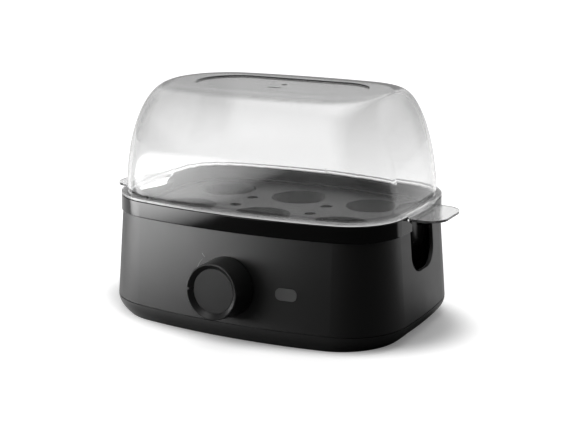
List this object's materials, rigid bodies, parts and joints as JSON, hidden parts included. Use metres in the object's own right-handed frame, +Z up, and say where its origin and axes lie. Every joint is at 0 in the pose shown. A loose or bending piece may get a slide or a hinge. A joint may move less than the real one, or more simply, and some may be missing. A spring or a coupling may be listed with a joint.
{
  "type": "electric egg cooker",
  "caption": "Low rounded table-top egg cooker with a matte housing, glossy rim, clear domed lift-off lid with end tabs, and a round front knob.",
  "frame": {"origin": "on the table, under the middle of the body, at the bottom of the feet", "axes": "+Z up, -Y towards the front face with the knob, +X to the right seen from the front"},
  "size_m": [0.249, 0.1735, 0.1561],
  "materials": {
    "housing_black": "matte",
    "gloss_black": "gloss",
    "base_black": "matte",
    "clear_lid": "clear gloss",
    "tray_grey": "satin",
    "bowl_steel": "satin",
    "seal_rubber": "matte",
    "foot_rubber": "matte",
    "spreader_aluminium": "satin",
    "element_steel": "satin",
    "plated_steel": "satin",
    "screw_steel": "satin",
    "knob_black": "satin gloss",
    "knob_face_grey": "matte",
    "pointer_dark": "matte",
    "lens_smoke": "satin",
    "lamp_glass": "clear",
    "board_green": "matte",
    "phenolic_brown": "matte",
    "ceramic_white": "satin",
    "terminal_white": "satin",
    "lead_sheath": "matte",
    "gland_black": "matte"
  },
  "bodies": {
    "base": {"housing_front": "housing_black", "housing_back": "housing_black", "rim_deck": "gloss_black", "recess_liner_left": "gloss_black", "recess_liner_right": "gloss_black", "base_pan": "base_black", "rubber_feet": "foot_rubber", "tie_screws": "screw_steel", "water_bowl": "bowl_steel", "bowl_seal": "seal_rubber", "heat_spreader": "spreader_aluminium", "heating_element": "element_steel", "thermostat": "phenolic_brown", "thermal_fuse": "ceramic_white", "fuse_clip": "plated_steel", "heat_shield": "plated_steel", "shield_screws": "screw_steel", "stud_nuts": "screw_steel", "control_bracket": "plated_steel", "bracket_screws": "screw_steel", "rotary_control": "phenolic_brown", "bush_nut": "screw_steel", "light_lens": "lens_smoke", "lamp_holder": "terminal_white", "indicator_lamp": "lamp_glass", "lamp_board": "board_green", "cable_gland": "gland_black", "terminal_block": "terminal_white", "terminal_screws": "screw_steel", "internal_leads": "lead_sheath"},
    "knob_turning": {"knob": "knob_black", "knob_face": "knob_face_grey", "knob_pointer": "pointer_dark", "hub_spring": "plated_steel", "control_shaft": "plated_steel"},
    "lid_lifting": {"lid": "clear_lid"},
    "tray_lifting": {"egg_tray": "tray_grey"}
  },
  "joints": [
    {"name": "knob_turn", "type": "hinge", "parent": "base", "child": "knob_turning", "pos_m": [0, -0.07551, 0.0357], "axis": [0, 0.9968, -0.0794], "range_deg": [0, 240]},
    {"name": "lid_lift", "type": "slide", "parent": "base", "child": "lid_lifting", "axis": [0, 0, 1], "range_m": [0, 0.1]},
    {"name": "tray_lift", "type": "slide", "parent": "base", "child": "tray_lifting", "axis": [0, 0, 1], "range_m": [0, 0.045]}
  ]
}
